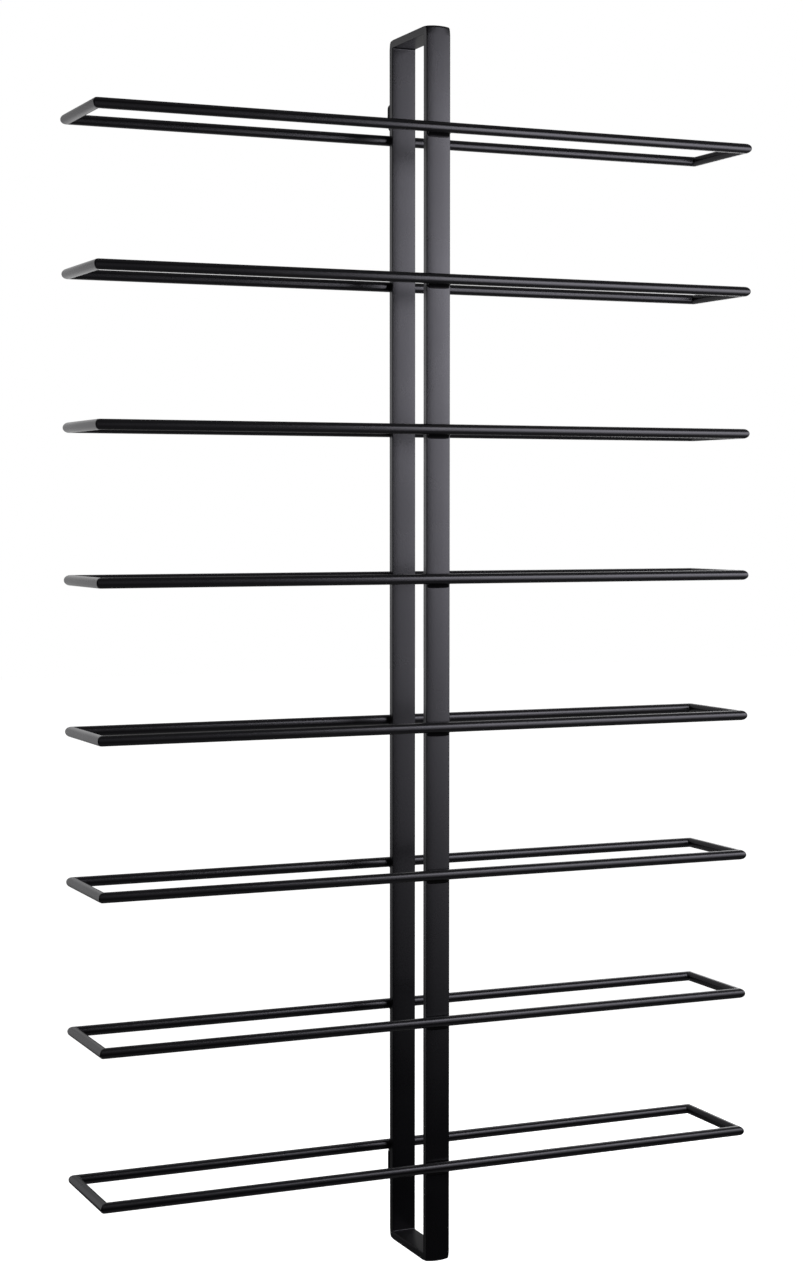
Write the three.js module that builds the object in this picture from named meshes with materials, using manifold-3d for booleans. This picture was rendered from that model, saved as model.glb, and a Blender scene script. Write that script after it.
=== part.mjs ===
// A wall rack: one tall upright of flat bar that carries eight level rectangular loops of round rod.
// Each loop goes round the upright: its front rod lies on the front leg, and its rear rod behind the
// rear leg. Two bent sheet hangers with keyhole slots, behind the rear leg, hook onto wall screws.
//
// Millimetres. X runs along the rods, +Y into the wall, +Z up. The wall is the plane y = 0, and the
// origin is where the shank of the upper screw sits, at the top of the upper keyhole.

import * as THREE from "three";
import { mergeVertices } from "three/addons/utils/BufferGeometryUtils.js";
import Module from "manifold-3d";

// Loops
const LOOP_COUNT = 8;
const LOOP_PITCH = 144; // height from one loop to the next
const LOOP_LENGTH = 690; // overall, along X
const LOOP_DEPTH = 110; // overall, along Y
const ROD_DIAMETER = 10;
const ROD_SIDES = 24;

// Upright
const BAR_WIDTH = 25;
const BAR_THICKNESS = 8;
const TOP_OVERHANG = 97; // from the top loop up to the top of the upright
const BOTTOM_OVERHANG = 95; // from the bottom loop down to its foot
const CORNER_RADIUS = 4; // ground outside of each welded corner
const CORNER_FACETS = 4;

// Hangers
const SHEET = 2;
const HANGER_WIDTH = 20;
const HANGER_HEIGHT = 31.4;
const HANGER_TOP_RUN = 2.5; // how far the top wall falls on its way out
const HANGER_BOTTOM_RUN = 9; // how far the bottom wall rises
const HANGER_TO_ROD = 5.3; // from the end of a hanger to the axis of the rear rod beside it
const BEND_RADIUS = 1;
const BEND_FACETS = 6;
const HEAD_HOLE_RADIUS = 4;
const SLOT_RADIUS = 2.2;
const SLOT_TRAVEL = 6.5; // from the centre of the head hole up to the screw's seat
const SEAT_HEIGHT = 22.7; // from the hanger's lower end up to the screw's seat
const KEYHOLE_FACETS = 12;

// Two cut faces that a weld joins stay this far apart.
const WELD_GAP = 0.3;
// Shortening a piece by this much keeps half of that gap at each of its mitred ends.
const MITRE_ALLOWANCE = Math.SQRT2 * WELD_GAP;

const ROD_RADIUS = ROD_DIAMETER / 2;
const REAR_ROD_Y = -ROD_RADIUS;
const FRONT_ROD_Y = ROD_RADIUS - LOOP_DEPTH;
const END_ROD_X = LOOP_LENGTH / 2 - ROD_RADIUS;
const LOOP_MIDDLE_Y = -LOOP_DEPTH / 2;

const UPRIGHT_BACK = -ROD_DIAMETER;
const UPRIGHT_FRONT = ROD_DIAMETER - LOOP_DEPTH;
const TOP_LOOP_Z = -(HANGER_TO_ROD + SEAT_HEIGHT);
const BOTTOM_LOOP_Z = TOP_LOOP_Z - (LOOP_COUNT - 1) * LOOP_PITCH;
const UPRIGHT_TOP = TOP_LOOP_Z + TOP_OVERHANG;
const UPRIGHT_FOOT = BOTTOM_LOOP_Z - BOTTOM_OVERHANG;
const UPRIGHT_MIDDLE_Z = (UPRIGHT_TOP + UPRIGHT_FOOT) / 2;

const QUARTER_TURN = Math.PI / 2;
const HALF_TURN = Math.PI;

const wasm = await Module();
wasm.setup();

const rack = new THREE.Group();

function blackPaint() {
  return new THREE.MeshStandardMaterial({ color: 0x1c1c1f, roughness: 0.45, metalness: 0.2 });
}

function addPiece(name, geometry, x, y, z) {
  const piece = new THREE.Mesh(geometry, blackPaint());
  piece.name = name;
  piece.position.set(x, y, z);
  rack.add(piece);
  return piece;
}

// A rod along X, its ends mitred at 45 degrees so that the side towards +Y, the inside of its loop,
// is the shorter one. Its axis runs from corner to corner of the loop.
function mitredRod(axisLength) {
  const length = axisLength - MITRE_ALLOWANCE;
  const rod = new THREE.CylinderGeometry(ROD_RADIUS, ROD_RADIUS, length, ROD_SIDES);
  rod.rotateZ(-QUARTER_TURN);
  const points = rod.getAttribute("position");
  for (let i = 0; i < points.count; i += 1) {
    const x = points.getX(i);
    points.setX(i, x - Math.sign(x) * points.getY(i));
  }
  return rod;
}

// The four rods of one loop. Loops are counted from the top.
function addLoop(number) {
  const z = TOP_LOOP_Z - (number - 1) * LOOP_PITCH;
  const long = 2 * END_ROD_X;
  const short = REAR_ROD_Y - FRONT_ROD_Y;
  const name = `loop_${number}`;
  addPiece(`${name}_front_rod`, mitredRod(long), 0, FRONT_ROD_Y, z);
  addPiece(`${name}_rear_rod`, mitredRod(long), 0, REAR_ROD_Y, z).rotation.z = HALF_TURN;
  addPiece(`${name}_left_rod`, mitredRod(short), -END_ROD_X, LOOP_MIDDLE_Y, z).rotation.z = -QUARTER_TURN;
  addPiece(`${name}_right_rod`, mitredRod(short), END_ROD_X, LOOP_MIDDLE_Y, z).rotation.z = QUARTER_TURN;
}

// A flat bar of the upright, seen from its side: x along the bar, y from its outer face inwards.
// Its ends are mitred at 45 degrees, and the outer corner is ground round.
function mitredBarOutline(outerLength) {
  const half = (outerLength - MITRE_ALLOWANCE) / 2;
  const arcStart = half - CORNER_RADIUS;
  const outline = new THREE.Shape();
  outline.moveTo(-arcStart, 0);
  outline.lineTo(arcStart, 0);
  outline.absarc(arcStart, CORNER_RADIUS, CORNER_RADIUS, -QUARTER_TURN, -0.5 * QUARTER_TURN);
  outline.lineTo(half - BAR_THICKNESS, BAR_THICKNESS);
  outline.lineTo(BAR_THICKNESS - half, BAR_THICKNESS);
  outline.absarc(-arcStart, CORNER_RADIUS, CORNER_RADIUS, -1.5 * QUARTER_TURN, -QUARTER_TURN);
  return outline;
}

// The bar of that outline, centred on x = 0, with its width along X and its length turned about X:
// by turn 0 it lies along Y with its outer face down.
function uprightBar(outerLength, turn) {
  const bar = new THREE.ExtrudeGeometry(mitredBarOutline(outerLength), {
    depth: BAR_WIDTH,
    bevelEnabled: false,
    curveSegments: CORNER_FACETS,
  });
  bar.translate(0, 0, -BAR_WIDTH / 2);
  bar.rotateY(QUARTER_TURN);
  bar.rotateX(QUARTER_TURN + turn);
  return bar;
}

// The closed rectangle of bar that holds the loops.
function addUpright() {
  const height = UPRIGHT_TOP - UPRIGHT_FOOT;
  const depth = UPRIGHT_BACK - UPRIGHT_FRONT;
  const middleY = (UPRIGHT_BACK + UPRIGHT_FRONT) / 2;
  addPiece("upright_front_leg", uprightBar(height, -QUARTER_TURN), 0, UPRIGHT_FRONT, UPRIGHT_MIDDLE_Z);
  addPiece("upright_rear_leg", uprightBar(height, QUARTER_TURN), 0, UPRIGHT_BACK, UPRIGHT_MIDDLE_Z);
  addPiece("upright_top_bar", uprightBar(depth, HALF_TURN), 0, middleY, UPRIGHT_TOP);
  addPiece("upright_bottom_bar", uprightBar(depth, 0), 0, middleY, UPRIGHT_FOOT);
}

// Adds straight lines through the points to a path, with each point between the ends bent round.
function addBentLine(path, points, radius) {
  for (let i = 1; i < points.length - 1; i += 1) {
    const corner = points[i];
    const before = corner.clone().add(points[i - 1].clone().sub(corner).setLength(radius));
    const after = corner.clone().add(points[i + 1].clone().sub(corner).setLength(radius));
    path.lineTo(before.x, before.y);
    path.quadraticCurveTo(corner.x, corner.y, after.x, after.y);
  }
  const end = points[points.length - 1];
  path.lineTo(end.x, end.y);
}

// A hanger from the side: x outwards from the leg, y up. A flat crown, parallel to the leg, stands on
// a sloped bottom wall and a steeper top wall, all of one bent strip of sheet.
function hangerOutline() {
  const out = ROD_DIAMETER;
  const inside = out - SHEET;
  const bottomSlope = HANGER_BOTTOM_RUN / out;
  const topSlope = HANGER_TOP_RUN / out;
  const bottomWall = SHEET * Math.hypot(1, bottomSlope);
  const topWall = SHEET * Math.hypot(1, topSlope);
  const outer = [
    new THREE.Vector2(0, 0),
    new THREE.Vector2(out, HANGER_BOTTOM_RUN),
    new THREE.Vector2(out, HANGER_HEIGHT - HANGER_TOP_RUN),
    new THREE.Vector2(0, HANGER_HEIGHT),
  ];
  const inner = [
    new THREE.Vector2(0, HANGER_HEIGHT - topWall),
    new THREE.Vector2(inside, HANGER_HEIGHT - topWall - topSlope * inside),
    new THREE.Vector2(inside, bottomWall + bottomSlope * inside),
    new THREE.Vector2(0, bottomWall),
  ];
  const outline = new THREE.Shape();
  outline.moveTo(outer[0].x, outer[0].y);
  addBentLine(outline, outer, BEND_RADIUS + SHEET);
  outline.lineTo(inner[0].x, inner[0].y);
  addBentLine(outline, inner, BEND_RADIUS);
  return outline;
}

// A round hole for the screw's head, with a slot above it for the shank: x across, y up, and the
// middle of the slot's round end at the origin.
function keyholeOutline() {
  const neck = Math.acos(SLOT_RADIUS / HEAD_HOLE_RADIUS);
  const outline = new THREE.Shape();
  outline.moveTo(SLOT_RADIUS, 0);
  outline.absarc(0, 0, SLOT_RADIUS, 0, HALF_TURN);
  outline.absarc(0, -SLOT_TRAVEL, HEAD_HOLE_RADIUS, HALF_TURN - neck, 2 * HALF_TURN + neck);
  return outline;
}

function asSolid(geometry) {
  const bare = geometry.clone();
  bare.deleteAttribute("normal");
  bare.deleteAttribute("uv");
  const merged = mergeVertices(bare);
  const vertProperties = merged.getAttribute("position").array;
  const triVerts = new Uint32Array(merged.index.array);
  return new wasm.Manifold(new wasm.Mesh({ numProp: 3, vertProperties, triVerts }));
}

function asGeometry(solid) {
  const mesh = solid.getMesh();
  const geometry = new THREE.BufferGeometry();
  geometry.setAttribute("position", new THREE.BufferAttribute(mesh.vertProperties, 3));
  geometry.setIndex(new THREE.BufferAttribute(mesh.triVerts, 1));
  return geometry;
}

// A hanger with its keyhole cut through the crown. Its origin is the screw's seat on the wall plane.
function hanger() {
  const strip = new THREE.ExtrudeGeometry(hangerOutline(), {
    depth: HANGER_WIDTH,
    bevelEnabled: false,
    curveSegments: BEND_FACETS,
  });
  strip.translate(-ROD_DIAMETER, -SEAT_HEIGHT, -HANGER_WIDTH / 2);
  strip.rotateX(QUARTER_TURN);
  strip.rotateZ(QUARTER_TURN);
  const cutDepth = 2 * SHEET;
  const cutter = new THREE.ExtrudeGeometry(keyholeOutline(), {
    depth: cutDepth,
    bevelEnabled: false,
    curveSegments: KEYHOLE_FACETS,
  });
  cutter.rotateX(QUARTER_TURN);
  cutter.translate(0, (cutDepth - SHEET) / 2, 0);
  return asGeometry(asSolid(strip).subtract(asSolid(cutter)));
}

// One hanger just above the top loop's rear rod, and one just below the bottom loop's.
function addHangers() {
  const lowerSeat = BOTTOM_LOOP_Z - HANGER_TO_ROD - HANGER_HEIGHT + SEAT_HEIGHT;
  addPiece("upper_hanger", hanger(), 0, 0, 0);
  addPiece("lower_hanger", hanger(), 0, 0, lowerSeat);
}

addUpright();
for (let number = 1; number <= LOOP_COUNT; number += 1) {
  addLoop(number);
}
addHangers();

export default rack;
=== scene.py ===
"""The looks of the wall rack: smooth rods, bars and hangers in black powder coat, with their welds."""

import math

import bmesh
import bpy
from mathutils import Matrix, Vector


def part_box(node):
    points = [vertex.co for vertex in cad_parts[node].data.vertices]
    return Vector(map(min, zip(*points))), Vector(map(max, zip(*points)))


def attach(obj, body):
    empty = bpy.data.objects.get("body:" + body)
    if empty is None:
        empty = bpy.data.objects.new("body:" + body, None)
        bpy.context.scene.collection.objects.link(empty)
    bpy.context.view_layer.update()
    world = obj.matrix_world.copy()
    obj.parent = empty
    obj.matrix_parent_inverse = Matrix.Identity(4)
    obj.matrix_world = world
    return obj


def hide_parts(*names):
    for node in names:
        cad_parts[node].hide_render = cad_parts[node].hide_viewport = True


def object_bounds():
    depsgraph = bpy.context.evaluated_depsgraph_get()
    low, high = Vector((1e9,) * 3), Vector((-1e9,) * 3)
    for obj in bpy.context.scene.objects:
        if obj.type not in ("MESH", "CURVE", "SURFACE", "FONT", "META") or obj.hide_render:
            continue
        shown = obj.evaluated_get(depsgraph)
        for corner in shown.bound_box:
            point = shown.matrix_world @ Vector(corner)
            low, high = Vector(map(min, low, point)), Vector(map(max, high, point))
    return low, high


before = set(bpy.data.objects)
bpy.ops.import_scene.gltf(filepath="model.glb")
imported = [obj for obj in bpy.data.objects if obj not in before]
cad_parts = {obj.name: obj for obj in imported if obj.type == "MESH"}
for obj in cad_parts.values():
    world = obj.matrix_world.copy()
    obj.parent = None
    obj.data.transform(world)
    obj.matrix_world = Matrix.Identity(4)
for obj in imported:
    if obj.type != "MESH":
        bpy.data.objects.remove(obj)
cad_low, cad_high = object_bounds()

MM = 0.001
BODY = "root"
LOOPS = range(1, 9)  # numbered from the top down

X = Vector((1, 0, 0))
Y = Vector((0, 1, 0))
Z = Vector((0, 0, 1))


# ---------------------------------------------------------------- sizes, from the frame

def middle(node):
    low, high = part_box(node)
    return (low + high) / 2


rod_low, rod_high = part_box("loop_1_front_rod")
ROD_RADIUS = (rod_high.z - rod_low.z) / 2

leg_low, leg_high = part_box("upright_front_leg")
BAR_HALF_WIDTH = (leg_high.x - leg_low.x) / 2
BAR_THICKNESS = leg_high.y - leg_low.y
UPRIGHT_FRONT = leg_low.y
UPRIGHT_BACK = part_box("upright_rear_leg")[1].y
UPRIGHT_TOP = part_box("upright_top_bar")[1].z
UPRIGHT_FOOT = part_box("upright_bottom_bar")[0].z

ROD_SIDES = 40
ROD_CORNER_FILLET = 1.3 * MM

BAR_EDGE_RADIUS = 0.6 * MM
BAR_CROWN = 0.28 * MM  # how far the broad faces fall from their middle to their edges
BAR_EDGE_STEPS = 5
BAR_FACE_STEPS = 7

CORNER_OUTSIDE = 2.0 * MM
CORNER_INSIDE = 1.2 * MM
CORNER_ARCH = 0.8 * MM  # how far the ground corner falls across the width of the bar
CORNER_EDGE_RADIUS = 1.3 * MM
CORNER_BLEND = 11.0 * MM  # how far from the mitre the grinding reaches
CORNER_LEAD_IN = 7.0 * MM
CORNER_STEPS = 9

WELD_REACH = 9.2 * MM  # from the rod's axis down the leg
WELD_MARGIN = 0.9 * MM  # from its ends to the edges of the leg
WELD_CLIMB = 0.35  # how far it climbs out over the rod, in rod radii
WELD_MORE_CLIMB = 0.5  # how much farther at its full size
WELD_HOLLOW = (0.06, 0.35)  # where its face bends, as shares of the way out and of the way down
WELD_HEEL = 0.5 * MM  # how deep the weld sits in the leg
WELD_LEAD = 2.0 * MM  # how far its hidden part runs on past its toe, so that the toe shades smoothly
WELD_END_SIZE = 0.25  # of its full size
WELD_BLUNTNESS = 0.22  # the nearer to 0, the blunter its ends
WELD_STEPS = 36
WELD_CURVE_STEPS = 8
RIPPLE = 0.12 * MM
RIPPLE_RATE = 2.6  # radians in a millimetre of weld

HANGER_EDGE_RADIUS = 0.8 * MM
HANGER_BEAD_RADIUS = 2.4 * MM
HANGER_BEAD_BEHIND = 2.5 * MM  # behind the axis of the rod
HANGER_BEAD_BELOW = 6.2 * MM  # below the axis of the rod


# ---------------------------------------------------------------- material

DARKEST_BLACK = (0.0024, 0.0023, 0.0027, 1)
PALEST_BLACK = (0.0036, 0.0034, 0.0040, 1)
SHEEN_TINT = (0.90, 0.88, 1.0, 1)
SMOOTHEST = 0.25
ROUGHEST = 0.31
FILM_RANGE = (0.3, 0.7)  # what the noise of the film mostly lies between
FILM_SCALE = 14.0
GRAIN_SCALE = 3200.0
PEEL_SCALE = 620.0
DRAWN_LINES = (300, 300, 3)  # close together across a bar, and long up and down


def add_node(tree, kind, inputs=None, **settings):
    """A shader node with its settings, and its inputs given as values or as sockets to link."""
    node = tree.nodes.new(kind)
    for name, value in settings.items():
        setattr(node, name, value)
    for name, value in (inputs or {}).items():
        if isinstance(value, bpy.types.NodeSocket):
            tree.links.new(value, node.inputs[name])
        else:
            node.inputs[name].default_value = value
    return node


def map_range(tree, value, source, target, **settings):
    """The value, carried over from the source range to the target range."""
    inputs = {"Value": value}
    inputs.update({"From Min": source[0], "From Max": source[1]})
    inputs.update({"To Min": target[0], "To Max": target[1]})
    return add_node(tree, "ShaderNodeMapRange", inputs, **settings).outputs["Result"]


def black_powder_coat(name, line_stretch=None, gloss=0.5):
    """Satin black powder coat: orange peel, a fine matt grain, and a film that is a little uneven.

    Faint lines of the drawn steel show through it where a stretch for them is given. The gloss is the
    shader's specular level.
    """
    material = bpy.data.materials.new(name)
    material.use_nodes = True
    tree = material.node_tree
    shader = tree.nodes["Principled BSDF"]
    place = add_node(tree, "ShaderNodeTexCoord").outputs["Object"]

    def noise(scale, detail, vector=place):
        inputs = {"Vector": vector, "Scale": scale, "Detail": detail}
        return add_node(tree, "ShaderNodeTexNoise", inputs).outputs["Fac"]

    def bump(height, strength, distance, under=None):
        """The surface normal with the relief of that height, on top of the relief under it."""
        inputs = {"Height": height, "Strength": strength, "Distance": distance}
        if under:
            inputs["Normal"] = under
        return add_node(tree, "ShaderNodeBump", inputs).outputs["Normal"]

    film = noise(FILM_SCALE, detail=3.0)
    grain = noise(GRAIN_SCALE, detail=2.0)
    peel = noise(PEEL_SCALE, detail=1.5)

    tint = add_node(tree, "ShaderNodeValToRGB", {"Fac": film})
    darkest, palest = tint.color_ramp.elements
    darkest.position = FILM_RANGE[0]
    darkest.color = DARKEST_BLACK
    palest.position = FILM_RANGE[1]
    palest.color = PALEST_BLACK
    tree.links.new(tint.outputs["Color"], shader.inputs["Base Color"])

    shader.inputs["Specular IOR Level"].default_value = gloss
    shader.inputs["Specular Tint"].default_value = SHEEN_TINT
    satin = map_range(tree, film, FILM_RANGE, (SMOOTHEST, ROUGHEST))
    tree.links.new(satin, shader.inputs["Roughness"])

    relief = bump(grain, strength=0.25, distance=0.02 * MM)
    relief = bump(peel, strength=0.5, distance=0.06 * MM, under=relief)
    if line_stretch:
        stretched = add_node(tree, "ShaderNodeMapping", {"Vector": place, "Scale": line_stretch})
        lines = noise(scale=1.0, detail=2.0, vector=stretched.outputs["Vector"])
        relief = bump(lines, strength=0.3, distance=0.03 * MM, under=relief)
    tree.links.new(relief, shader.inputs["Normal"])
    return material


PAINT = black_powder_coat("black_powder_coat")
FRONT_BAR_PAINT = black_powder_coat("black_powder_coat_on_front_bar", DRAWN_LINES)
# Painted shade for the inner bars: a copy of the paint with a lower specular level, so their reflections
# are darker.
INNER_BAR_SHADED_PAINT = black_powder_coat("black_powder_coat_on_inner_bars_with_painted_shade", DRAWN_LINES, gloss=0.4)
# Painted shade for the welds and the hangers: a copy of the paint with a low specular level, so they
# stay black.
PAINTED_SHADE_PAINT = black_powder_coat("dull_black_powder_coat_with_painted_shade", gloss=0.1)


# ---------------------------------------------------------------- pieces

def finish_piece(name, bm, node=None, paint=PAINT):
    """Makes a painted piece that rides on the rack, and replaces a CAD node if one is given."""
    bmesh.ops.recalc_face_normals(bm, faces=bm.faces)
    mesh = bpy.data.meshes.new(name)
    bm.to_mesh(mesh)
    bm.free()
    piece = bpy.data.objects.new(name, mesh)
    bpy.context.scene.collection.objects.link(piece)
    mesh.materials.append(paint)
    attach(piece, BODY)
    if node:
        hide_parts(node)
    return piece


def loft(rings):
    """A closed mesh through rings of equally many points. Its sides are smooth, and its ends flat."""
    bm = bmesh.new()
    loops = [[bm.verts.new(point) for point in ring] for ring in rings]
    for ring, following in zip(loops, loops[1:]):
        for i in range(len(ring)):
            j = (i + 1) % len(ring)
            bm.faces.new((ring[i], ring[j], following[j], following[i])).smooth = True
    for end in (loops[0], loops[-1]):
        bm.faces.new(end)
        for i in range(len(end)):
            bm.edges.get((end[i], end[(i + 1) % len(end)])).smooth = False
    return bm


def mitred_length(start, end, inward, side, section, stations, corner):
    """A length of rod or bar from corner to corner of a rectangle, with both ends on the mitre planes.

    The section's points are pairs: the distance from the line start-end towards the inside of the
    rectangle, and the distance along side. Each station is a distance still to go before the turn
    and the angle turned, and the last lies on the mitre plane, half way round. corner(point, station)
    gives how far the point stays back from the corner of the rectangle, and its depth there.
    """
    along = (end - start).normalized()
    half = (end - start).length / 2
    centre = (start + end) / 2
    rings = []
    for sign, order in ((-1, reversed(stations)), (1, stations)):
        for station in order:
            ring = []
            for point in section:
                back, depth = corner(point, station)
                ring.append(centre + along * sign * (half - back) + inward * depth + side * point[1])
            rings.append(ring)
    return loft(rings)


def turned(depth, radius, station):
    """Where a line at that depth is when it turns the corner with that radius."""
    to_go, angle = station
    back = depth + to_go + radius * (1 - math.sin(angle))
    return back, depth + radius * (1 - math.cos(angle))


def turn_stations():
    return [(0, math.radians(45) * step / CORNER_STEPS) for step in range(CORNER_STEPS + 1)]


def round_section():
    steps = [math.tau * k / ROD_SIDES for k in range(ROD_SIDES)]
    return [(ROD_RADIUS * math.cos(a), ROD_RADIUS * math.sin(a)) for a in steps]


def rod_corner(point, station):
    return turned(point[0], ROD_CORNER_FILLET, station)


def crown(across):
    """How far the broad face of a bar falls away from its middle, at that distance across."""
    return BAR_CROWN * abs(across / (BAR_HALF_WIDTH - BAR_EDGE_RADIUS)) ** 3


def bar_section():
    """The bar's outline: depth from its outer face, and distance across.

    The broad faces are slightly crowned and the long edges are round. One half is the other half
    turned by 180 degrees.
    """
    radius = BAR_EDGE_RADIUS
    flat = BAR_HALF_WIDTH - radius
    top = BAR_CROWN + radius
    quarter = [math.radians(90) * step / BAR_EDGE_STEPS for step in range(BAR_EDGE_STEPS + 1)]
    half = [(top - radius * math.sin(angle), -flat - radius * math.cos(angle)) for angle in quarter]
    for step in range(1 - BAR_FACE_STEPS, BAR_FACE_STEPS):
        across = flat * math.sin(math.radians(90) * step / BAR_FACE_STEPS)
        half.append((crown(across), across))
    half += [(top - radius * math.cos(angle), flat + radius * math.sin(angle)) for angle in quarter]
    return half + [(BAR_THICKNESS - depth, -across) for depth, across in half]


def ground_off(across):
    """How far the grinding of a corner has lowered the outer face, at that distance across."""
    arch = CORNER_ARCH * (across / BAR_HALF_WIDTH) ** 2
    past_flat = max(0, abs(across) - BAR_HALF_WIDTH + CORNER_EDGE_RADIUS)
    return arch + CORNER_EDGE_RADIUS - math.sqrt(CORNER_EDGE_RADIUS**2 - past_flat**2)


def bar_corner(point, station):
    """A corner of the upright: ground round outside, most of all at the edges, and tight inside."""
    depth, across = point
    to_go, angle = station
    outer_share = 1 - depth / BAR_THICKNESS
    radius = CORNER_OUTSIDE * outer_share + CORNER_INSIDE * (1 - outer_share)
    distance = to_go + radius * (math.radians(45) - angle)
    blend = max(0, 1 - distance / CORNER_BLEND) ** 2
    return turned(depth + ground_off(across) * blend * outer_share, radius, station)


def add_loop(number):
    """The four rods of a loop, which meet on its mitre planes."""
    name = f"loop_{number}"
    left = middle(f"{name}_left_rod").x
    right = middle(f"{name}_right_rod").x
    front = middle(f"{name}_front_rod").y
    rear = middle(f"{name}_rear_rod").y
    z = middle(f"{name}_front_rod").z
    sides = {
        "front_rod": ((left, front), (right, front), Y),
        "rear_rod": ((left, rear), (right, rear), -Y),
        "left_rod": ((left, front), (left, rear), X),
        "right_rod": ((right, front), (right, rear), -X),
    }
    for part, (start, end, inward) in sides.items():
        ends = Vector((*start, z)), Vector((*end, z))
        bm = mitred_length(*ends, inward, Z, round_section(), turn_stations(), rod_corner)
        finish_piece(f"steel_{name}_{part}", bm, f"{name}_{part}")


def add_upright():
    """The four bars of the upright, welded at their mitres and ground.

    All but the front leg get a copy of the paint with a lower specular level. This is painted shade,
    which makes the inner bars duller where they lie in shade.
    """
    front, back, top, foot = UPRIGHT_FRONT, UPRIGHT_BACK, UPRIGHT_TOP, UPRIGHT_FOOT
    lead_in = [(CORNER_LEAD_IN * (1 - step / CORNER_STEPS) ** 2, 0) for step in range(CORNER_STEPS)]
    stations = lead_in + turn_stations()
    bars = {
        "front_leg": ((front, foot), (front, top), Y, FRONT_BAR_PAINT),
        "rear_leg": ((back, foot), (back, top), -Y, INNER_BAR_SHADED_PAINT),
        "top_bar": ((front, top), (back, top), -Z, INNER_BAR_SHADED_PAINT),
        "bottom_bar": ((front, foot), (back, foot), Z, INNER_BAR_SHADED_PAINT),
    }
    for part, (start, end, inward, paint) in bars.items():
        ends = Vector((0, *start)), Vector((0, *end))
        bm = mitred_length(*ends, inward, X, bar_section(), stations, bar_corner)
        piece = finish_piece(f"steel_upright_{part}", bm, f"upright_{part}", paint)
        piece.modifiers.new("even_faces", "WEIGHTED_NORMAL").keep_sharp = True


def weld_section(size, reach):
    """A fillet weld under a rod that lies on a leg: distance out from the leg, and down from the axis.

    Its face is hollow: it leaves the leg at a shallow angle and runs up to the underside of the rod.
    The rest is hidden inside the two.
    """
    on_rod = ROD_RADIUS * (WELD_CLIMB + WELD_MORE_CLIMB * size)
    below = math.sqrt(ROD_RADIUS**2 - (ROD_RADIUS - on_rod) ** 2)
    toe = Vector((0, reach))
    hollow = Vector((WELD_HOLLOW[0] * on_rod, below + WELD_HOLLOW[1] * (reach - below)))
    tip = Vector((on_rod, below))
    points = [Vector((-WELD_HEEL, ROD_RADIUS / 2)), Vector((-WELD_HEEL, reach + WELD_LEAD))]
    for step in range(WELD_CURVE_STEPS + 1):
        share = step / WELD_CURVE_STEPS
        points.append(toe * (1 - share) ** 2 + hollow * 2 * share * (1 - share) + tip * share**2)
    points.append(Vector((on_rod, ROD_RADIUS / 2)))
    return points


def add_weld(name, leg_face, outwards, rod_z):
    """The weld bead under a rod, which stops a little short of both edges of the leg."""
    half_length = BAR_HALF_WIDTH - WELD_MARGIN
    rings = []
    for step in range(WELD_STEPS + 1):
        turn = math.radians(180) * step / WELD_STEPS
        x = -half_length * math.cos(turn)
        size = math.sin(turn) ** WELD_BLUNTNESS if 0 < step < WELD_STEPS else WELD_END_SIZE
        ripple = RIPPLE * math.sin(x / MM * RIPPLE_RATE)
        reach = ROD_RADIUS + (WELD_REACH - ROD_RADIUS) * size + ripple
        ring = []
        for out, down in weld_section(size, reach):
            out -= crown(x) * (1 - max(0, out) / ROD_RADIUS)
            ring.append(Vector((x, leg_face + outwards * out, rod_z - down)))
        rings.append(ring)
    # Painted shade: the weld under the rod gets the dull copy of the paint, so it stays dark.
    finish_piece(name, loft(rings), paint=PAINTED_SHADE_PAINT)


def add_welds():
    """One weld under each front rod, on the front leg, and one under each rear rod."""
    for number in LOOPS:
        z = middle(f"loop_{number}_front_rod").z
        add_weld(f"weld_loop_{number}_front", UPRIGHT_FRONT, -1, z)
        add_weld(f"weld_loop_{number}_rear", UPRIGHT_BACK, 1, z)


def add_hanger_weld():
    """A round bead that joins the top of the lower hanger to the bottom rear rod."""
    low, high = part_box("lower_hanger")
    rod = middle(f"loop_{LOOPS[-1]}_rear_rod")
    place = Vector((0, rod.y + HANGER_BEAD_BEHIND, rod.z - HANGER_BEAD_BELOW))
    end_length = HANGER_BEAD_RADIUS / 4
    half_length = (high.x - low.x) / 2 - end_length
    around = [math.tau * k / ROD_SIDES for k in range(ROD_SIDES)]
    quarter = [math.radians(90) * (step + 0.5) / CORNER_STEPS for step in range(CORNER_STEPS)]
    rings = []
    for sign, angles in ((-1, quarter), (1, reversed(quarter))):
        for angle in angles:
            x = sign * (half_length + end_length * math.cos(angle))
            size = HANGER_BEAD_RADIUS * math.sin(angle)
            rings.append([place + X * x + (Y * math.cos(a) + Z * math.sin(a)) * size for a in around])
    # Painted shade: the bead under the rod gets the dull copy of the paint, so it stays dark.
    finish_piece("weld_lower_hanger", loft(rings), paint=PAINTED_SHADE_PAINT)


def add_hangers():
    """The CAD hangers have the right shape: they get round edges, and a copy of the paint with a low
    specular level, which is painted shade that keeps them black.
    """
    for node in ("upper_hanger", "lower_hanger"):
        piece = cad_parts[node]
        piece.data.materials.clear()
        piece.data.materials.append(PAINTED_SHADE_PAINT)
        edges = piece.modifiers.new("round_edges", "BEVEL")
        edges.width = HANGER_EDGE_RADIUS
        edges.segments = 4
        edges.limit_method = "ANGLE"
        edges.angle_limit = math.radians(40)


# ---------------------------------------------------------------- studio

CAMERA_PLACE = Vector((-0.9618, -2.1914, -0.3935))
CAMERA_YAW = math.radians(23.81)  # to the right of straight at the wall
CAMERA_PITCH = math.radians(-3.13)
CAMERA_LENS = 66.9

FLOOR_SIZE = 24
FLOOR_DROP = 0.3  # below the foot of the rack

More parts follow.
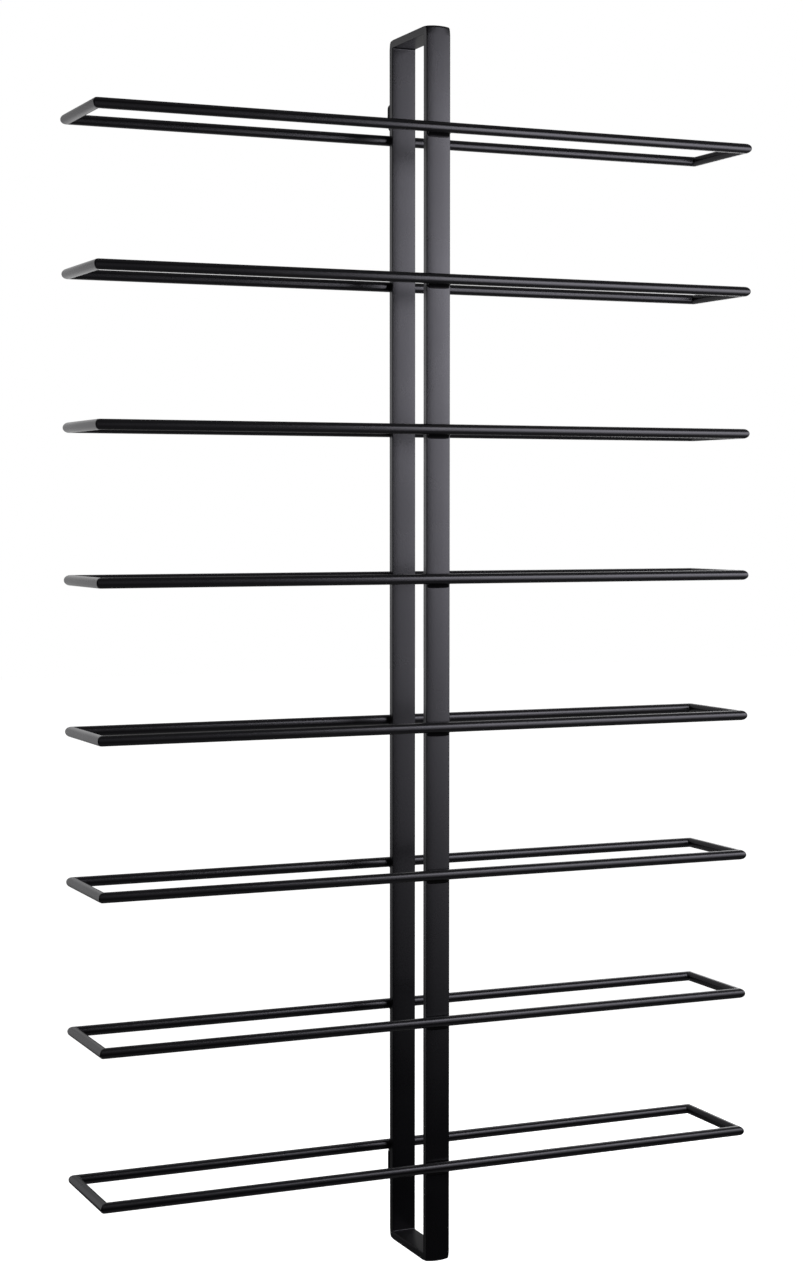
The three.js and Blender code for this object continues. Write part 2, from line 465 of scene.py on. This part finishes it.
ROOM_GLOW = 0.03
CEILING_GLOW = 0.18
CEILING_HEIGHTS = (0.45, 0.95)  # where its glow begins and is full, as the Z of a unit direction
GROUND_GLOW = 0.17
GROUND_HEIGHTS = (-0.40, -0.90)

PANEL_STRIPS = 12


def add_camera():
    camera = bpy.data.objects.new("camera", bpy.data.cameras.new("camera"))
    camera.data.lens = CAMERA_LENS
    camera.location = CAMERA_PLACE
    camera.rotation_euler = (math.radians(90) + CAMERA_PITCH, 0, -CAMERA_YAW)
    bpy.context.scene.collection.objects.link(camera)
    bpy.context.scene.camera = camera


def add_area_light(name, place, target, width, height, radiance):
    light = bpy.data.lights.new(name, "AREA")
    light.shape = "RECTANGLE"
    light.size = width
    light.size_y = height
    light.energy = radiance * math.pi * width * height
    lamp = bpy.data.objects.new(name, light)
    lamp.location = place
    lamp.rotation_euler = (Vector(target) - Vector(place)).to_track_quat("-Z", "Y").to_euler()
    lamp.visible_camera = False
    bpy.context.scene.collection.objects.link(lamp)


def add_floor():
    """A plain pale floor under the rack. It lights nothing, and can't be seen from below."""
    bpy.ops.mesh.primitive_plane_add(size=FLOOR_SIZE, location=(0, 0, cad_low.z - FLOOR_DROP))
    floor = bpy.context.object
    floor.name = "floor"
    material = bpy.data.materials.new("pale_floor")
    material.use_nodes = True
    tree = material.node_tree
    shader = tree.nodes["Principled BSDF"]
    shader.inputs["Base Color"].default_value = (0.85, 0.85, 0.85, 1)
    shader.inputs["Roughness"].default_value = 0.9
    shader.inputs["Emission Color"].default_value = (1, 1, 1, 1)
    shader.inputs["Emission Strength"].default_value = 1.0
    see_through = add_node(tree, "ShaderNodeBsdfTransparent")
    below = add_node(tree, "ShaderNodeNewGeometry").outputs["Backfacing"]
    mix = add_node(tree, "ShaderNodeMixShader", {0: below, 1: shader.outputs["BSDF"]})
    tree.links.new(see_through.outputs["BSDF"], mix.inputs[2])
    tree.links.new(mix.outputs["Shader"], tree.nodes["Material Output"].inputs["Surface"])
    floor.data.materials.append(material)
    floor.visible_glossy = False
    floor.visible_diffuse = False


def add_world():
    """A white backdrop for the eye. The rack itself sees a dark room, with a paler ceiling and floor."""
    world = bpy.data.worlds.new("studio")
    bpy.context.scene.world = world
    world.use_nodes = True
    tree = world.node_tree
    direction = add_node(tree, "ShaderNodeTexCoord").outputs["Generated"]
    height = add_node(tree, "ShaderNodeSeparateXYZ", {"Vector": direction}).outputs["Z"]

    def brighter(one, other):
        node = add_node(tree, "ShaderNodeMath", {0: one, 1: other}, operation="MAXIMUM")
        return node.outputs["Value"]

    smooth = {"interpolation_type": "SMOOTHSTEP"}
    ceiling = map_range(tree, height, CEILING_HEIGHTS, (ROOM_GLOW, CEILING_GLOW), **smooth)
    ground = map_range(tree, height, GROUND_HEIGHTS, (ROOM_GLOW, GROUND_GLOW), **smooth)
    room = brighter(ceiling, ground)
    strength = brighter(room, add_node(tree, "ShaderNodeLightPath").outputs["Is Camera Ray"])
    background = tree.nodes["Background"]
    background.inputs["Color"].default_value = (1, 1, 1, 1)
    tree.links.new(strength, background.inputs["Strength"])


def add_panel(name, left, right, y, top, foot, hot_spot, spread, radiance):
    """An upright panel of light that faces the rack, brightest at its hot spot and dimmer up and down.

    It is a stack of strips, each of which is one area light. At the spread above or below the hot
    spot it has 60% of its brightness.
    """
    x = (left + right) / 2
    strip = (top - foot) / PANEL_STRIPS
    for number in range(PANEL_STRIPS):
        z = top - (number + 0.5) * strip
        glow = radiance * math.exp(-(((z - hot_spot) / spread) ** 2) / 2)
        add_area_light(f"{name}_{number}", (x, y, z), (x, 0, z), right - left, strip, glow)


def add_lights():
    """A softbox close by at the front right with its spill beside it, and paler panels behind.

    Panels in one plane lie side by side, because one that overlaps another hides it in reflections.
    """
    front = {"y": -0.8, "top": 0.25, "foot": -1.1}
    softbox = {"left": 0.27, "right": 1.37, "hot_spot": -0.10, "spread": 0.39, "radiance": 5.2}
    softbox_spill = {"left": -0.33, "right": 0.27, "hot_spot": -0.3, "spread": 0.39, "radiance": 0.25}
    add_panel("softbox", **front, **softbox)
    add_panel("softbox_spill", **front, **softbox_spill)

    back = {"y": 0.5, "top": 0.35}
    left = {"left": -1.2, "right": -0.42, "foot": -1.2, "hot_spot": -0.40, "spread": 0.54}
    centre = {"left": -0.42, "right": -0.15, "foot": -1.35, "hot_spot": -0.27, "spread": 0.36}
    spill = {"left": -0.15, "right": 0.5, "foot": -1.35, "hot_spot": -0.35, "spread": 0.5}
    add_panel("panel_left", **back, **left, radiance=0.74)
    add_panel("panel_middle", **back, **centre, radiance=1.0)
    add_panel("panel_spill", **back, **spill, radiance=0.25)

    add_area_light("panel_right", (1.1, 1.0, 0.1), (0, 0, -0.3), width=0.9, height=1.2, radiance=0.9)
    add_area_light("back_right", (1.45, 1.25, -0.6), (0, 0, -0.5), width=0.9, height=1.5, radiance=1.5)
    add_area_light("back_left", (-1.6, 1.1, -0.6), (0, 0, -0.5), width=0.9, height=1.5, radiance=1.2)


def add_studio():
    add_camera()
    add_floor()
    add_world()
    add_lights()
    bpy.context.scene.view_settings.view_transform = "Standard"


add_upright()
for loop_number in LOOPS:
    add_loop(loop_number)
add_hangers()
add_welds()
add_hanger_weld()
add_studio()
